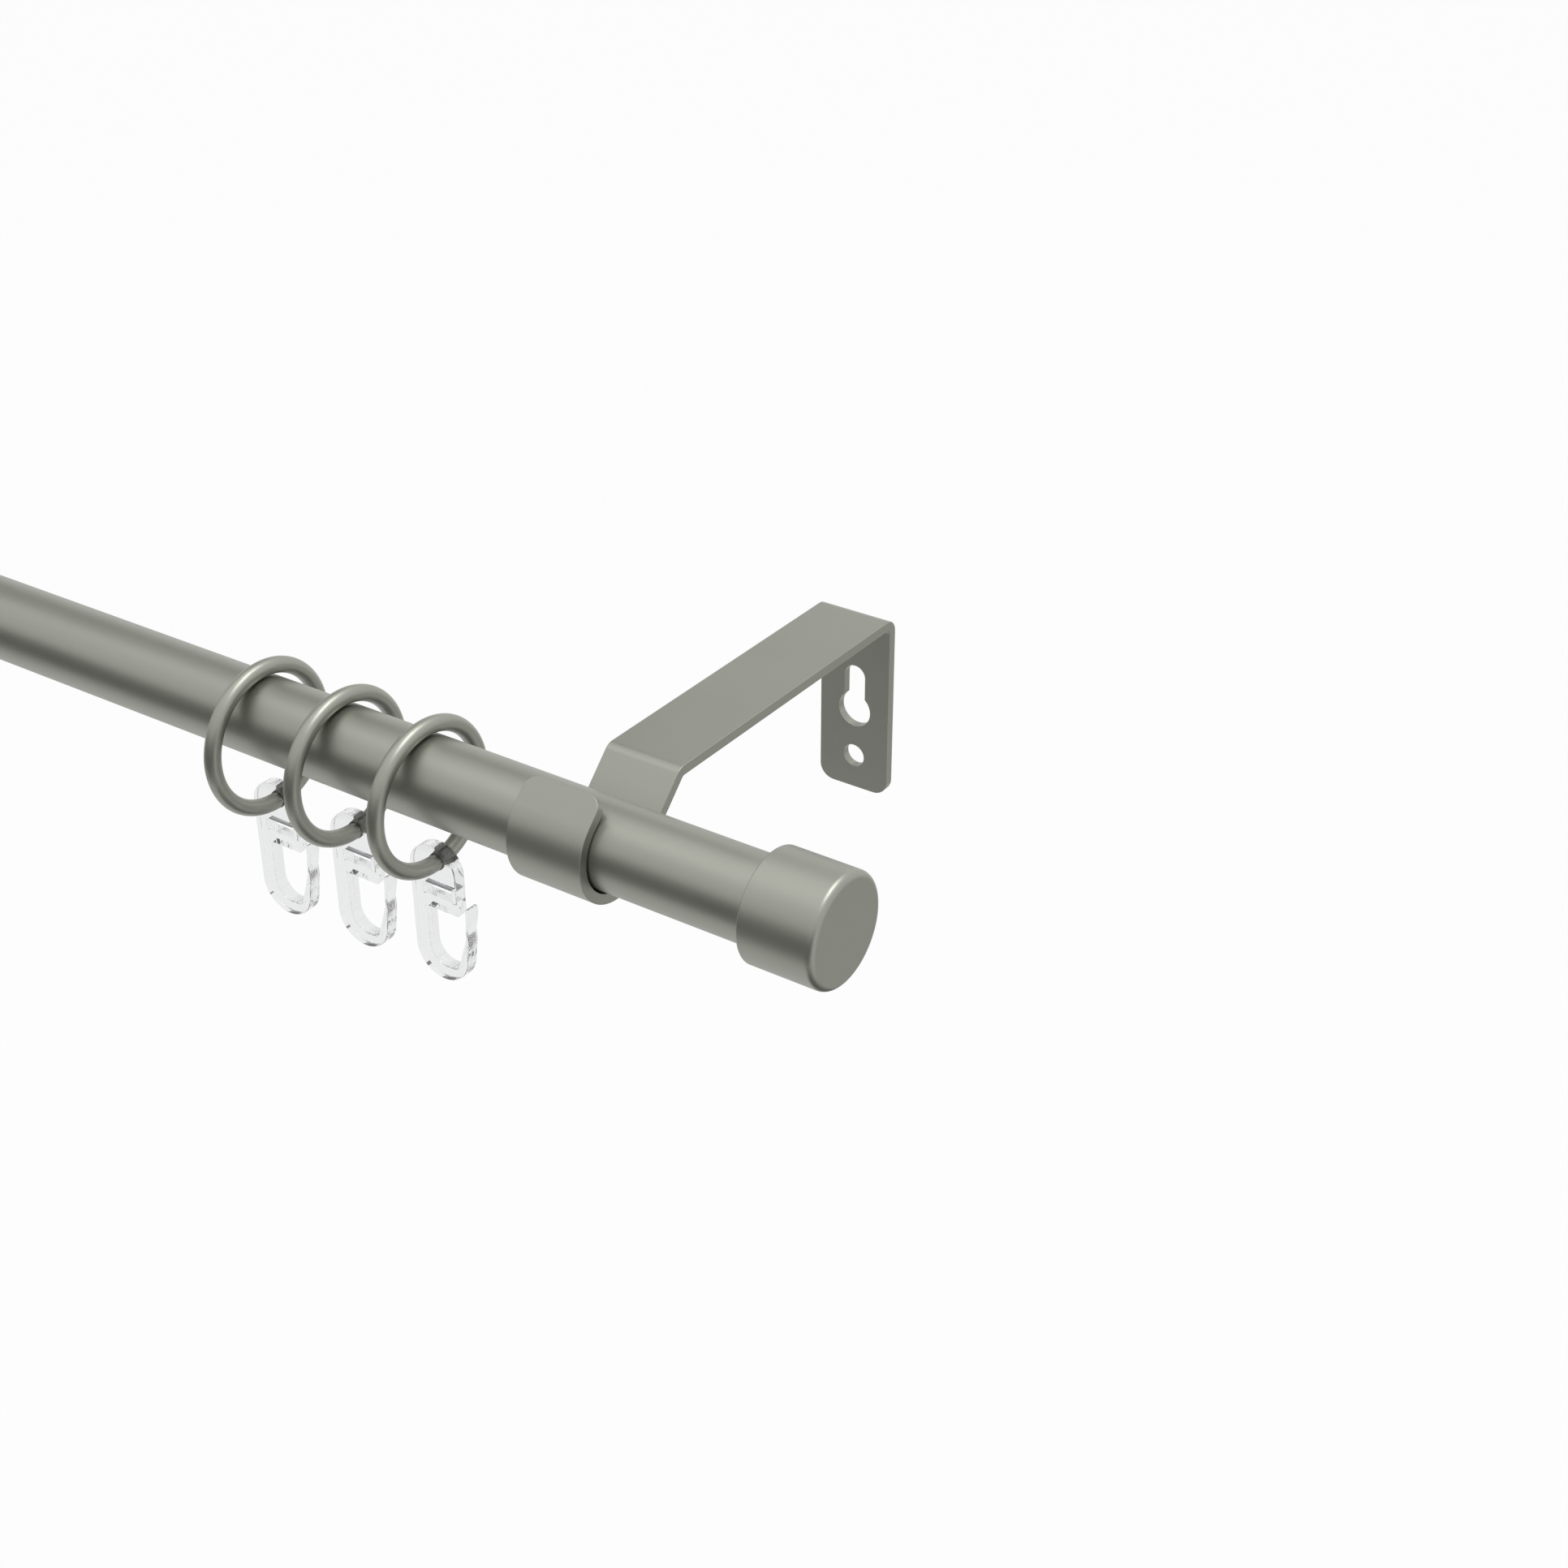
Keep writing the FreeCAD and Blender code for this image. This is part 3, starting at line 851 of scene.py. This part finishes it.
def makeCard(name, corners, colour, forHooks=False):
    # A card out of view that only the metal mirrors, or that only the edges of the clear hooks show.
    paint = newPaint(name)
    shader = paint.add("BsdfDiffuse", None, {"Color": colour})
    if forHooks:
        turns = paint.add("LightPath", None, None, "Ray Depth")
        tooDeep = paint.add("Math", {"operation": "GREATER_THAN"}, {0: turns, 1: studio["deepest"]})
        passed = paint.add("BsdfTransparent")
        shader = paint.add("MixShader", None, {0: tooDeep, 1: shader, 2: passed})
    card = makeSheet(name, corners, paint, shader)
    card.visible_camera = False
    card.visible_diffuse = False
    card.visible_shadow = False
    card.visible_glossy = not forHooks
    card.visible_transmission = forHooks


def makeCards():
    for name, (colour, (left, right), (topY, topZ), (lowY, lowZ), forHooks) in uprightCards.items():
        corners = [(left, topY, topZ), (right, topY, topZ), (right, lowY, lowZ), (left, lowY, lowZ)]
        makeCard(name, corners, colour, forHooks)
    for name, (colour, near, far, height, sides) in levelCards.items():
        for side in sides:
            corners = [(ends[side] * x, y, z) for x, y, z in levelCorners(near, far, height)]
            makeCard(name, corners, colour)


def makeLamp(name, place, target, size, power):
    lamp = bpy.data.lights.new(name, "AREA")
    lamp.shape = "RECTANGLE"
    lamp.size, lamp.size_y = size
    lamp.energy = power
    back = Vector(place) - Vector(target)
    turn = back.to_track_quat("Z", "Y").to_matrix().to_4x4()
    newObject(name, lamp).matrix_world = Matrix.Translation(place) @ turn


makeWorld()
makeFloor()
makeCards()
for name, facts in lamps.items():
    makeLamp(name, *facts)
print("studio lit")


# Camera, for a square frame of 1932 pixels

viewer = {
    "place": (0.719816, -0.456496, 0.305880),
    "forward": (-0.48339, 0.71451, -0.50577),
    "up": (-0.28392, 0.41856, 0.86267),
    "lens": 55.60,  # both in millimetres
    "sensor": 36,
    "nearest": 0.01,
}


def makeCamera():
    camera = bpy.data.cameras.new("camera")
    camera.sensor_width = viewer["sensor"]
    camera.lens = viewer["lens"]
    camera.clip_start = viewer["nearest"]
    holder = newObject("camera", camera)
    forward = Vector(viewer["forward"]).normalized()
    right = forward.cross(Vector(viewer["up"])).normalized()
    upward = right.cross(forward)
    turn = Matrix((right, upward, -forward)).transposed().to_4x4()
    holder.matrix_world = Matrix.Translation(viewer["place"]) @ turn
    bpy.context.scene.camera = holder


makeCamera()
bpy.context.scene.view_settings.view_transform = "Standard"
cycles = bpy.context.scene.cycles
cycles.max_bounces = studio["bounces"]
cycles.glossy_bounces = studio["glossyBounces"]
cycles.transmission_bounces = studio["clearBounces"]
print("camera set")

bpy.context.view_layer.update()
